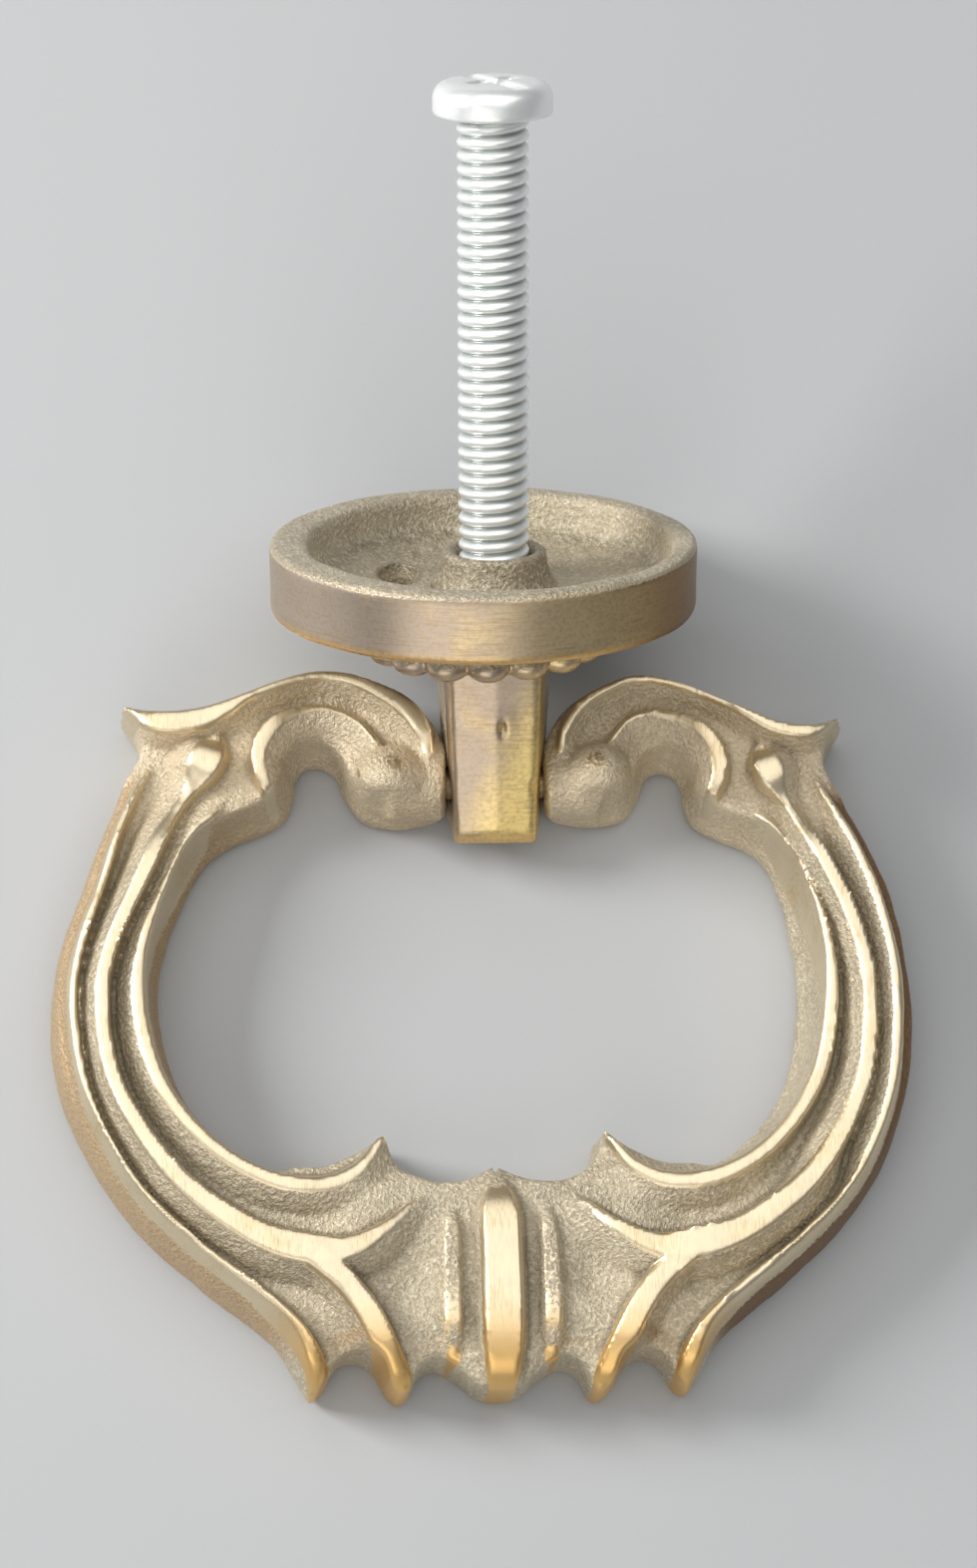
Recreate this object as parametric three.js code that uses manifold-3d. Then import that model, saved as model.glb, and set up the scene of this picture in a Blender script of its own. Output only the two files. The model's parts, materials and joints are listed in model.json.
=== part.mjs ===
// Cast brass door knocker: a scrolled bail that swings on a post, a cup-backed rosette and its mounting screw.
// Millimetres, +Z up. The knocker lies on a surface, as it does off the door: the bail flat on its back with
// its scrolls towards +Y, and the rosette standing on its front edge with the screw pointing up and back.
import * as THREE from "three";
import { mergeVertices } from "three/addons/utils/BufferGeometryUtils.js";
import Module from "manifold-3d";

// ---------- driving dimensions ----------
const PIVOT_Y = 0.6; // centres the whole knocker over its origin
const PIVOT_Z = 3.7; // height of the hubs above the bail's flat back
const LEAN = THREE.MathUtils.degToRad(35.5); // screw axis above the surface

// Along the screw axis, measured from the pivot towards the door.
const DOOR_FACE = 15.1; // back rim of the rosette
const FLANGE_FRONT = 10.98;
const RECESS_FLOOR = 12.3;
const SEAT_FACE = 9.0; // front face of the rosette inside the beads
const BOSS_FACE = 14.55;
const POST_TIP = -3.07;
const POST_BASE = 8.8;

const EDGE = 0.25; // broken edges of the turned pieces

const FLANGE_R = 12.55;
const LAND_R = 10.8; // inner edge of the flat back rim
const RECESS_SLOPE = 0.7; // lean of the recess wall, and its rounding into the floor
const NECK_R = 7.9; // where the flange's front meets the beads' neck
const SEAT_R = 5.2; // flat front round the post
const ROSETTE_X = -0.65; // the rosette sits this far off the post's axis
const BEADS = 16;
const BEAD_RING_R = 6.05;
const BEAD_R = 1.25;
const BEAD_CENTRE = 9.3;

const SHANK_R = 3.05;
const SHANK_GAP = 0.1; // between the shank and the rosette's hole
const COLLAR_R = 3.45; // swollen foot of the boss, which holds the rosette on the post
const TAP_R = 2.16;
const TAP_END = 4.5;
const DRILL_POINT = 0.8; // depth of the tapped hole's cone

// The post's block has three sections: half widths of its upper and lower faces, half height and crown.
const POST_ROOT = { upper: 2.75, lower: 3.6, height: 2.95, crown: 0.25 };
const POST_FRONT = { upper: 2.38, lower: 2.87, height: 2.47, crown: 0.2 };
const POST_NOSE = { upper: 2.05, lower: 2.55, height: 2.12, crown: 0.15 };
const NOSE_CHAMFER = 0.45;

const PIN_R = 0.9;
const PIN_HALF = 5.4;
const PIN_BORE_R = 1.0;
const SOCKET_R = 0.98;
const SOCKET_END = 5.7;

const THREAD_R = 2.083; // number 8 screw, 32 threads to the inch
const THREAD_ROOT_R = 1.65;
const PITCH = 0.794;
const SCREW_LENGTH = 31.75;
const HEAD_SEAT = 40.25;
const HEAD_R = 3.53;
const HEAD_HEIGHT = 2.25;
const CROSS_DEPTH = 1.3; // the recess that the screwdriver turns
const CROSS_SPAN = 4.2;
const CROSS_WIDTH = 0.9;

const HUB_R = 2.2;
const HUB_DEPTH = 2.85; // from its face to where it is lost in the scroll
const HUB_FACE = 3.35; // inner face of each hub, clear of the post's side
const SLAB_TOP = 4.6; // floor of the bail's grooves
const RIDGE_SINK = 0.7; // how far the middle of a ridge lies below that floor
const EYE = { x: 6.3, y: 0, radius: 2.7, top: 6.5 }; // the dome in each scroll
const SIDE_REED = { x: 2.85, radius: 0.85, back: -26.3, front: -36.2, crest: 6.1 };
const MIDDLE_REED = { x: 0, radius: 1.35, back: -25.1, front: -37.1, crest: 6.7 };

// ---------- solids ----------
const wasm = await Module();
wasm.setup();

function solid(geometry, matrix) {
  const plain = geometry.clone();
  plain.deleteAttribute("normal");
  plain.deleteAttribute("uv");
  if (matrix) plain.applyMatrix4(matrix);
  const merged = mergeVertices(plain, 1e-4);
  const triVerts = new Uint32Array(merged.index.array);
  if (matrix && matrix.determinant() < 0) {
    for (let i = 0; i < triVerts.length; i += 3) {
      [triVerts[i + 1], triVerts[i + 2]] = [triVerts[i + 2], triVerts[i + 1]];
    }
  }
  const vertProperties = new Float32Array(merged.attributes.position.array);
  return new wasm.Manifold(new wasm.Mesh({ numProp: 3, vertProperties, triVerts }));
}

function geometryOf(made) {
  const mesh = made.getMesh();
  const geometry = new THREE.BufferGeometry();
  geometry.setAttribute("position", new THREE.BufferAttribute(mesh.vertProperties, 3));
  geometry.setIndex(new THREE.BufferAttribute(mesh.triVerts, 1));
  return geometry;
}

const shift = (x, y, z) => new THREE.Matrix4().makeTranslation(x, y, z);
const union = (solids) => solids.reduce((a, b) => a.add(b));
const mirrored = (made) => solid(geometryOf(made), new THREE.Matrix4().makeScale(-1, 1, 1));

// A body of revolution about Y, from [radius, height] pairs that start and end on the axis, lowest first.
function turned(profile, segments) {
  return new THREE.LatheGeometry(profile.map(([r, y]) => new THREE.Vector2(r, y)), segments);
}

// A plain cylinder along X, centred at the height of the pivot.
function barAlongX(radius, from, to, segments) {
  const bar = new THREE.CylinderGeometry(radius, radius, to - from, segments);
  bar.rotateZ(Math.PI / 2);
  return solid(bar, shift((from + to) / 2, 0, 0));
}

// ---------- rosette: hollow-backed flange with a ring of beads on its front ----------
function rosetteGeometry() {
  const cup = solid(
    turned(
      [
        [0, SEAT_FACE],
        [SEAT_R, SEAT_FACE],
        [SEAT_R + EDGE, SEAT_FACE + EDGE],
        [BEAD_RING_R + BEAD_R / 2, SEAT_FACE + EDGE],
        [BEAD_RING_R + BEAD_R, BEAD_CENTRE + BEAD_R / 2],
        [NECK_R, FLANGE_FRONT - EDGE],
        [FLANGE_R - EDGE, FLANGE_FRONT],
        [FLANGE_R, FLANGE_FRONT + EDGE],
        [FLANGE_R, DOOR_FACE - EDGE],
        [FLANGE_R - EDGE, DOOR_FACE],
        [LAND_R, DOOR_FACE],
        [LAND_R - RECESS_SLOPE, RECESS_FLOOR + RECESS_SLOPE],
        [LAND_R - 2 * RECESS_SLOPE, RECESS_FLOOR],
        [0, RECESS_FLOOR],
      ],
      48,
    ),
  );
  const beads = Array.from({ length: BEADS }, (_, i) => {
    const turn = (2 * Math.PI * (i + 0.5)) / BEADS;
    const bead = new THREE.SphereGeometry(BEAD_R, 8, 6);
    return solid(bead, shift(BEAD_RING_R * Math.sin(turn), BEAD_CENTRE, BEAD_RING_R * Math.cos(turn)));
  });
  // The hole for the post is on the post's axis, so it is off the middle of the flange.
  const holeRadius = SHANK_R + SHANK_GAP;
  const hole = new THREE.CylinderGeometry(holeRadius, holeRadius, DOOR_FACE - SEAT_FACE + 2, 32);
  return geometryOf(union([cup, ...beads]).subtract(solid(hole, shift(-ROSETTE_X, RECESS_FLOOR, 0))));
}

// ---------- post: tapered block with a round shank through the rosette, tapped for the screw ----------
// Corners of the block's section at one place on the axis. The upper face is narrower and has a low crown.
function postSection(along, { upper, lower, height, crown }) {
  return [
    [-lower, -height],
    [lower, -height],
    [upper, height],
    [0, height + crown],
    [-upper, height],
  ].map(([x, z]) => new THREE.Vector3(x, along, z));
}

// Skins a row of convex sections that have equal numbers of corners, and closes both ends.
function lofted(sections) {
  const count = sections[0].length;
  const points = sections.flat();
  const index = [];
  for (let row = 0; row + 1 < sections.length; row++) {
    for (let i = 0; i < count; i++) {
      const a = row * count + i;
      const b = row * count + ((i + 1) % count);
      index.push(a, b, a + count, b, b + count, a + count);
    }
  }
  const last = (sections.length - 1) * count;
  for (let i = 1; i + 1 < count; i++) {
    index.push(0, i + 1, i, last, last + i, last + i + 1);
  }
  return new THREE.BufferGeometry().setFromPoints(points).setIndex(index);
}

function postGeometry() {
  const block = solid(
    lofted([
      postSection(POST_BASE, POST_ROOT),
      postSection(POST_TIP + NOSE_CHAMFER, POST_FRONT),
      postSection(POST_TIP, POST_NOSE),
    ]),
  );
  const shank = solid(
    turned(
      [
        [0, POST_BASE - 1],
        [SHANK_R, POST_BASE - 1],
        [SHANK_R, RECESS_FLOOR + SHANK_GAP],
        [COLLAR_R, RECESS_FLOOR + 1.5 * SHANK_GAP],
        [SHANK_R + SHANK_GAP, (RECESS_FLOOR + BOSS_FACE) / 2],
        [SHANK_R, BOSS_FACE - EDGE],
        [SHANK_R - EDGE, BOSS_FACE],
        [0, BOSS_FACE],
      ],
      32,
    ),
  );
  const tap = solid(
    turned(
      [
        [0, TAP_END],
        [TAP_R, TAP_END + DRILL_POINT],
        [TAP_R, BOSS_FACE - EDGE],
        [TAP_R + EDGE, BOSS_FACE],
        [TAP_R + EDGE, BOSS_FACE + 1],
        [0, BOSS_FACE + 1],
      ],
      32,
    ),
  );
  const crossHole = barAlongX(PIN_BORE_R, -2 * POST_ROOT.lower, 2 * POST_ROOT.lower, 24);
  return geometryOf(union([block, shank]).subtract(tap).subtract(crossHole));
}

// ---------- pivot pin: pressed through the post, its ends in the bail's sockets ----------
function pinGeometry() {
  const pin = turned(
    [
      [0, -PIN_HALF],
      [PIN_R - EDGE, -PIN_HALF],
      [PIN_R, EDGE - PIN_HALF],
      [PIN_R, PIN_HALF - EDGE],
      [PIN_R - EDGE, PIN_HALF],
      [0, PIN_HALF],
    ],
    24,
  );
  return pin.rotateZ(Math.PI / 2);
}

// ---------- mounting screw: pan head with a cross recess, and a thread of one ring for each pitch ----------
function screwGeometry() {
  const tip = HEAD_SEAT - SCREW_LENGTH;
  const profile = [
    [0, tip],
    [THREAD_ROOT_R - EDGE, tip],
  ];
  const turns = Math.floor((SCREW_LENGTH - EDGE) / PITCH);
  for (let i = 0; i < turns; i++) {
    const start = tip + EDGE + i * PITCH;
    profile.push([THREAD_ROOT_R, start], [THREAD_R, start + PITCH / 2]);
  }
  profile.push(
    [THREAD_ROOT_R, tip + EDGE + turns * PITCH],
    [THREAD_R, HEAD_SEAT - EDGE],
    [THREAD_R, HEAD_SEAT],
    [HEAD_R - EDGE, HEAD_SEAT],
    [HEAD_R, HEAD_SEAT + EDGE],
    [HEAD_R, HEAD_SEAT + 0.4 * HEAD_HEIGHT],
    [0.87 * HEAD_R, HEAD_SEAT + 0.73 * HEAD_HEIGHT],
    [0.65 * HEAD_R, HEAD_SEAT + 0.94 * HEAD_HEIGHT],
    [0, HEAD_SEAT + HEAD_HEIGHT],
  );
  const slots = [0, Math.PI / 2].map((angle) => {
    const slot = new THREE.BoxGeometry(CROSS_SPAN, 2 * CROSS_DEPTH, CROSS_WIDTH).rotateY(angle);
    return solid(slot, shift(0, HEAD_SEAT + HEAD_HEIGHT, 0));
  });
  return geometryOf(solid(turned(profile, 14)).subtract(union(slots)));
}

// ---------- bail: right half drawn about the pivot in plan, then mirrored ----------
// Each stretch of the outline is a smooth curve, and stretches meet at corners. It runs from the middle of the
// foot out to the arm, up and round the ear and scroll, and back down the inside of the ring.
const OUTLINE = [
  [[0, -37], [1.2, -36.8], [2.3, -36], [3.6, -35.4], [4.6, -35.8], [5.2, -36.9], [5.8, -37.1]],
  [[5.8, -37.1], [6.5, -36.5], [7.2, -35.4], [8.3, -34.8], [9.3, -35.2], [10.1, -36.4], [10.8, -37]],
  [[10.8, -37], [11.7, -35.8], [13.2, -33.5], [16.8, -30.6], [20.2, -27.5], [22.8, -24], [24.5, -20],
    [25.35, -13.3], [24.7, -8.9], [23.1, -4.6], [21.5, -1.5], [20.4, 0.4], [20.4, 1.8], [21.3, 3.4]],
  [[21.3, 3.4], [19.5, 2.9], [17.2, 3.2], [14.4, 4.5], [11.6, 5.6], [9, 6], [6.8, 5.4], [5.1, 4.3],
    [4.1, 2.9], [3.9, 1.9]],
  [[3.9, 1.9], [3.9, -1.9]],
  [[3.9, -1.9], [5.2, -2.25], [6.6, -2.25], [8.1, -1.7], [9.1, -0.2], [9.6, 1], [10.5, 1.45],
    [11.4, 1.2], [11.95, 0.4]],
  [[11.95, 0.4], [12, -0.6], [12.6, -2], [14.2, -2.9], [15.8, -3.6], [17.2, -5.1], [18.5, -8.9], [18.95, -12.4],
    [18.3, -16.8], [16.6, -20.3], [14.2, -22.9], [12, -24], [10, -24.1], [8, -23.3], [6.4, -22.1]],
  [[6.4, -22.1], [5.7, -23.9], [4.6, -24.7], [3.2, -25.1], [1.2, -24.9], [0, -24.5]],
];

// The file-polished ridges. Each has its height, half its width and the line that it follows.
const RIDGES = [
  { top: 6.5, half: 0.75, line: [[19.6, -0.6], [21.8, -4.9], [23.6, -9.9], [24.05, -14], [23.3, -20],
    [21.1, -24.5], [17.9, -28.4], [14.1, -31.5], [11.4, -33.9], [10.6, -36]] },
  { top: 6.8, half: 1.0, line: [[16.9, -0.2], [19.6, -4.9], [21.7, -9.9], [22.3, -14.1], [21.5, -19.4],
    [18.8, -24.1], [14.4, -28], [10, -29.8], [8.2, -29.1], [6.2, -27.7], [5, -26.3]] },
  { top: 6.6, half: 0.75, line: [[10, -29.8], [7.9, -31.9], [6.7, -33.8], [5.85, -36.3]] },
  { top: 6.3, half: 0.85, line: [[16.4, -2.8], [18.3, -5.9], [19.8, -9.9], [20.2, -13.9], [19.1, -18.8],
    [16.6, -22.7], [13.2, -25], [9.4, -25.4], [7.6, -24.1]] },
  { top: 6.5, half: 0.9, line: [[20.4, 2.45], [17.4, 2.5], [14.3, 3.7], [11.5, 4.8], [9, 5.2], [6.9, 4.6],
    [5.4, 3.4], [4.9, 1.9]] },
  { top: 6, half: 0.8, line: [[9.8, 3.6], [11.7, 3.2], [13.3, 2], [13.7, 0.3], [13.5, -1.7]] },
];

const sideways = (points) => points.map(([x, y]) => new THREE.Vector2(x, y));

function outlineShape() {
  const shape = new THREE.Shape();
  shape.moveTo(...OUTLINE[0][0]);
  for (const stretch of OUTLINE) shape.splineThru(sideways(stretch.slice(1)));
  return shape;
}

// An upright ellipse carried along a line in plan, half sunk in the slab.
function ridge({ top, half, line }) {
  const rise = top - SLAB_TOP + RIDGE_SINK;
  const section = new THREE.Shape().absellipse(0, 0, rise, half, 0, 2 * Math.PI);
  const path = new THREE.CatmullRomCurve3(line.map(([x, y]) => new THREE.Vector3(x, y, top - rise)));
  const steps = 2 * line.length;
  return solid(new THREE.ExtrudeGeometry(section, { extrudePath: path, steps, curveSegments: 3 }));
}

// A round reed that comes over the foot of the bail from its inner edge and down its outer face.
function reed({ x, radius, back, front, crest }) {
  const axis = [
    [back, crest - radius - 1.5],
    [back - 1.5, crest - radius - 0.2],
    [(back + front) / 2, crest - radius],
    [front + 1.8, crest - radius - 0.6],
    [front + radius + 0.1, crest - radius - 2],
    [front + radius, radius * 0.6],
  ];
  const path = new THREE.CatmullRomCurve3(axis.map(([y, z]) => new THREE.Vector3(x, y, z)));
  const section = new THREE.Shape().absarc(0, 0, radius, 0, 2 * Math.PI);
  return solid(new THREE.ExtrudeGeometry(section, { extrudePath: path, steps: 10, curveSegments: 4 }));
}

function dome({ x, y, radius, top }) {
  const ball = new THREE.SphereGeometry(radius, 14, 8);
  return solid(ball, shift(x, y, top - radius));
}

function bailGeometry() {
  const slab = { depth: SLAB_TOP, bevelEnabled: false, curveSegments: 1 };
  const half = union([
    solid(new THREE.ExtrudeGeometry(outlineShape(), slab)),
    ...RIDGES.map(ridge),
    dome(EYE),
    reed(SIDE_REED),
  ]).subtract(solid(new THREE.BoxGeometry(80, 120, 4), shift(0, 0, -2)));
  const lifted = solid(geometryOf(half), shift(0, 0, -PIVOT_Z));
  const hub = barAlongX(HUB_R, HUB_FACE, HUB_FACE + HUB_DEPTH, 24);
  const socket = barAlongX(SOCKET_R, HUB_FACE - 1, SOCKET_END, 24);
  const side = lifted.add(hub).subtract(socket);
  const middle = reed(MIDDLE_REED);
  const joined = union([side, mirrored(side), solid(geometryOf(middle), shift(0, 0, -PIVOT_Z))]);
  return geometryOf(joined);
}

// ---------- assembly ----------
function piece(name, geometry, color, roughness, metalness) {
  const material = new THREE.MeshStandardMaterial({ color, roughness, metalness });
  const mesh = new THREE.Mesh(geometry, material);
  mesh.name = name;
  return mesh;
}

const knocker = new THREE.Group();
const atPivot = new THREE.Group();
atPivot.position.set(0, PIVOT_Y, PIVOT_Z);
knocker.add(atPivot);

// The fitting's own frame has +Y towards the door and +Z up the door.
const fitting = new THREE.Group();
fitting.rotation.x = LEAN;
atPivot.add(fitting);

const rosette = piece("rosette", rosetteGeometry(), 0xa88f68, 0.45, 0.9);
rosette.position.x = ROSETTE_X;
fitting.add(
  rosette,
  piece("post", postGeometry(), 0xb89a66, 0.35, 0.95),
  piece("pivot_pin", pinGeometry(), 0xb08d57, 0.4, 0.9),
  piece("mounting_screw", screwGeometry(), 0xd4d8d8, 0.2, 1),
);
atPivot.add(piece("bail", bailGeometry(), 0xb09a70, 0.45, 0.9));

export default knocker;
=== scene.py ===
import json
import math

import bmesh
import bpy
import numpy as np
from mathutils import Matrix, Vector


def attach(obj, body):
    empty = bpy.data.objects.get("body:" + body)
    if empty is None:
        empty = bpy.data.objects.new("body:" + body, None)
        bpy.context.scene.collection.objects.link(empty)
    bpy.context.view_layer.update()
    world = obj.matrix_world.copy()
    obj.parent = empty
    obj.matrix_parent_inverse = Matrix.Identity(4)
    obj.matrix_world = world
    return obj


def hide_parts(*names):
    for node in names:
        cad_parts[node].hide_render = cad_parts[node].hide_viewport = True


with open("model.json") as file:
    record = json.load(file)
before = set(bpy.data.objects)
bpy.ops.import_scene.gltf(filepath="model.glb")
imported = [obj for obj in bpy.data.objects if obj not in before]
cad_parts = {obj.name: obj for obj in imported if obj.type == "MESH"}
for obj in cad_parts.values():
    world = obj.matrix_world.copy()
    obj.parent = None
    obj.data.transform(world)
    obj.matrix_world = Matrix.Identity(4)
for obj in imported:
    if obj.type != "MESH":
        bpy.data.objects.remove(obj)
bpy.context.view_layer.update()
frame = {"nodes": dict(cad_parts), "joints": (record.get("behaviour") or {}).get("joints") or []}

MM = 0.001

JOINTS = {joint["name"]: joint for joint in frame["joints"]}
PIVOT = Vector(JOINTS["bail_swing"]["pos_m"])
SCREW_AXIS = Vector(JOINTS["screw_travel"]["axis"])
LEAN = math.atan2(SCREW_AXIS.z, SCREW_AXIS.y)
PIVOT_Z = PIVOT.z / MM

# The fitting's frame has +Y towards the door and +Z up the door. The bail's has its back at height 0.
FITTING = Matrix.Translation(PIVOT) @ Matrix.Rotation(LEAN, 4, "X")
LYING = Matrix.Translation((0, PIVOT.y, 0))

# Along the screw axis, in millimetres from the pivot.
DOOR_FACE = 15.1
FLANGE_FRONT = 10.98
RECESS_FLOOR = 12.3
SEAT_FACE = 9.0
BOSS_FACE = 14.55
POST_BASE = 8.8
POST_TIP = -3.07
HEAD_SEAT = 40.25
SCREW_TIP = 8.5

# The rosette. The plate's middle is ROSETTE_X to the side of the screw axis, and its recess is RECESS_OFFSET
# to the side of the plate's middle.
FLANGE_R = 12.55
LAND_R = 10.8
ROSETTE_X = -0.65
RECESS_OFFSET = 0.5
BEADS = 16
BEAD_RING_R = 6.05
BEAD_R = 1.22
BEAD_CENTRE = 9.0
BEAD_FLATNESS = 1.5
BEAD_TURN = -0.17

# The post's shank, its tapped hole and its cross hole for the pin.
SHANK_R = 3.05
TAP_R = 2.16
TAP_END = 4.5
PIN_BORE_R = 1.0

# The screw. The head's turn is in degrees.
THREAD_R = 2.083
THREAD_ROOT_R = 1.62
PITCH = 0.794
HEAD_R = 3.53
HEAD_HEIGHT = 2.25
HEAD_TURN = 35

# The bail's hubs, which turn beside the post, and the blind sockets in them for the pin. Faces and ends are
# distances from the middle of the post.
HUB_R = 2.1
HUB_FACE = 2.8
HUB_DOME = 0.15
HUB_END = 6.2
SOCKET_R = 0.98
SOCKET_END = 5.7


# ---------- fields ----------
def smooth_max(a, b, blend):
    """The larger of two heights, with the crease between them filled over the blend."""
    near = np.clip(0.5 + 0.5 * (a - b) / blend, 0, 1)
    return b + (a - b) * near + blend * near * (1 - near)


def smooth_min(a, b, blend):
    return -smooth_max(-a, -b, blend)


def smooth_step(low, high, x):
    """Rises smoothly from 0 at low to 1 at high, or falls if low is the greater."""
    t = np.clip((x - low) / (high - low), 0, 1)
    return t * t * (3 - 2 * t)


def softened(field, passes):
    """Rounds the field's corners: each pass averages every cell with its neighbours along each axis."""
    for _ in range(passes):
        for axis in range(field.ndim):
            padded = np.pad(field, [(1, 1) if a == axis else (0, 0) for a in range(field.ndim)], "edge")
            count = field.shape[axis]
            lower, middle, upper = (np.take(padded, range(i, i + count), axis) for i in range(3))
            field = 0.25 * lower + 0.5 * middle + 0.25 * upper
    return field


def lumps(points, scale, seed):
    """Smooth random unevenness of about -1 to 1, whose lumps are a scale across."""
    lattice = np.random.default_rng(seed).uniform(-1, 1, (17, 17, 17))
    cells = [p / scale for p in points]
    whole = [np.floor(c).astype(int) for c in cells]
    part = [smooth_step(0, 1, c - w) for c, w in zip(cells, whole)]
    total = 0
    for corner in np.ndindex(2, 2, 2):
        weight = 1
        for p, far in zip(part, corner):
            weight = weight * (p if far else 1 - p)
        total = total + weight * lattice[tuple((w + far) % 17 for w, far in zip(whole, corner))]
    return total


def curve(points):
    """A smooth line through points that may carry further values, such as a height at each."""
    samples_per_span = 8
    p = np.array(points, float)
    p = np.vstack([p[:1], p, p[-1:]])
    t = np.linspace(0, 1, samples_per_span, endpoint=False)[:, None]
    spans = []
    for a, b, c, d in zip(p, p[1:], p[2:], p[3:]):
        square, cube = 2 * a - 5 * b + 4 * c - d, 3 * b - a - 3 * c + d
        spans.append(0.5 * (2 * b + (c - a) * t + square * t**2 + cube * t**3))
    return np.vstack([*spans, p[-1:]])


def nearest(x, y, line):
    """Distance of points from a line in plan, the place along it in samples, and if they are on its left."""
    best = np.full(x.shape, 1e9)
    along = np.zeros(x.shape)
    left = np.zeros(x.shape, bool)
    for i, ((ax, ay), (bx, by)) in enumerate(zip(line[:, :2], line[1:, :2])):
        dx, dy = bx - ax, by - ay
        t = np.clip(((x - ax) * dx + (y - ay) * dy) / (dx * dx + dy * dy), 0, 1)
        square = (x - ax - t * dx) ** 2 + (y - ay - t * dy) ** 2
        closer = square < best
        best = np.where(closer, square, best)
        along = np.where(closer, i + t, along)
        left = np.where(closer, dx * (y - ay) > dy * (x - ax), left)
    return np.sqrt(best), along, left


def within(x, y, loop):
    """Which points lie inside a closed loop."""
    inside = np.zeros(x.shape, bool)
    for (ax, ay), (bx, by) in zip(loop, np.roll(loop, -1, 0)):
        if ay != by:
            inside ^= ((ay > y) != (by > y)) & (x < ax + (bx - ax) * (y - ay) / (by - ay))
    return inside


def polygon(x, y, corners):
    """Signed distance to a polygon, below zero inside it."""
    loop = np.array(corners, float)
    distance = nearest(x, y, np.vstack([loop, loop[:1]]))[0]
    return np.where(within(x, y, loop), -distance, distance)


def grid(low, high, step):
    """Three arrays with the coordinates of a box's grid points."""
    axes = [np.arange(a, b + step, step) for a, b in zip(low, high)]
    return np.meshgrid(*axes, indexing="ij")


# ---------- meshes ----------
def skin(field):
    """A closed quad mesh round the cells where the field is below zero, in grid units: (vertices, quads)."""
    cells = tuple(n - 1 for n in field.shape)
    total = np.zeros((*cells, 3))
    count = np.zeros(cells)
    crossings = []
    for axis in range(3):
        first = np.take(field, range(field.shape[axis] - 1), axis)
        second = np.take(field, range(1, field.shape[axis]), axis)
        crosses = (first < 0) != (second < 0)
        share = np.where(crosses, first / np.where(crosses, first - second, 1), 0)
        crossings.append((crosses, first < 0))
        others = [a for a in range(3) if a != axis]
        for corner in np.ndindex(2, 2):
            window = [slice(None)] * 3
            for other, far in zip(others, corner):
                window[other] = slice(far, far + cells[other])
            here = crosses[tuple(window)]
            total[..., axis] += share[tuple(window)]
            for other, far in zip(others, corner):
                total[..., other] += far * here
            count += here
    used = count > 0
    number = np.full(cells, -1)
    number[used] = np.arange(used.sum())
    vertices = np.argwhere(used) + total[used] / count[used][:, None]
    quads = []
    for axis, (crosses, leaving) in enumerate(crossings):
        one, two = (axis + 1) % 3, (axis + 2) % 3
        window = [slice(None)] * 3
        window[one] = window[two] = slice(1, -1)
        edges = np.argwhere(crosses[tuple(window)])
        edges[:, one] += 1
        edges[:, two] += 1
        ring = []
        for step_one, step_two in ((-1, -1), (0, -1), (0, 0), (-1, 0)):
            cell = edges.copy()
            cell[:, one] += step_one
            cell[:, two] += step_two
            ring.append(number[tuple(cell.T)])
        ring = np.stack(ring, 1)
        outward = leaving[tuple(edges.T)]
        quads.append(np.where(outward[:, None], ring, ring[:, ::-1]))
    return vertices, np.vstack(quads)


def sampled(values, where):
    """Values of a grid array at points given in grid units."""
    base = np.floor(where).astype(int)
    base = np.minimum(base, np.array(values.shape) - 2)
    part = where - base
    total = np.zeros(len(where))
    for corner in np.ndindex(*(2,) * values.ndim):
        weight = np.prod([part[:, a] if far else 1 - part[:, a] for a, far in enumerate(corner)], axis=0)
        total += weight * values[tuple((base + corner).T)]
    return total


def mesh_object(name, vertices, quads, place, values):
    """A smooth mesh object, from millimetres in the piece's own frame, which place puts in the row frame."""
    mesh = bpy.data.meshes.new(name)
    turned = vertices @ np.array(place.to_3x3()).T * MM + np.array(place.translation)
    mesh.vertices.add(len(vertices))
    mesh.vertices.foreach_set("co", turned.astype(np.float32).ravel())
    mesh.loops.add(quads.size)
    mesh.loops.foreach_set("vertex_index", quads.astype(np.int32).ravel())
    mesh.polygons.add(len(quads))
    mesh.polygons.foreach_set("loop_start", np.arange(0, quads.size, 4, dtype=np.int32))
    mesh.polygons.foreach_set("use_smooth", np.ones(len(quads), bool))
    mesh.update(calc_edges=True)
    own = mesh.attributes.new("own_mm", "FLOAT_VECTOR", "POINT")
    own.data.foreach_set("vector", vertices.astype(np.float32).ravel())
    for key, value in values.items():
        attribute = mesh.attributes.new(key, "FLOAT", "POINT")
        attribute.data.foreach_set("value", value.astype(np.float32))
    made = bpy.data.objects.new(name, mesh)
    bpy.context.scene.collection.objects.link(made)
    return made


def cast(name, field, low, step, place, masks=None, bend=None):
    """A piece from its field, with its masks as attributes.

    Two more say how far each point stands out of its near surroundings, and how deep it lies in wider ones.
    """
    near_passes, wide_passes = 6, 8
    where, quads = skin(field)
    vertices = np.array(low) + where * step
    if bend:
        bend(vertices)
    coarse = softened(field[::2, ::2, ::2], wide_passes)
    values = {
        "relief": sampled(softened(field, near_passes) - field, where) / step,
        "hollow": -sampled(coarse, where / 2) / step,
    }
    for key, mask in (masks or {}).items():
        values[key] = sampled(mask, where[:, : mask.ndim])
    return mesh_object(name, vertices, quads, place, values)


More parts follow.
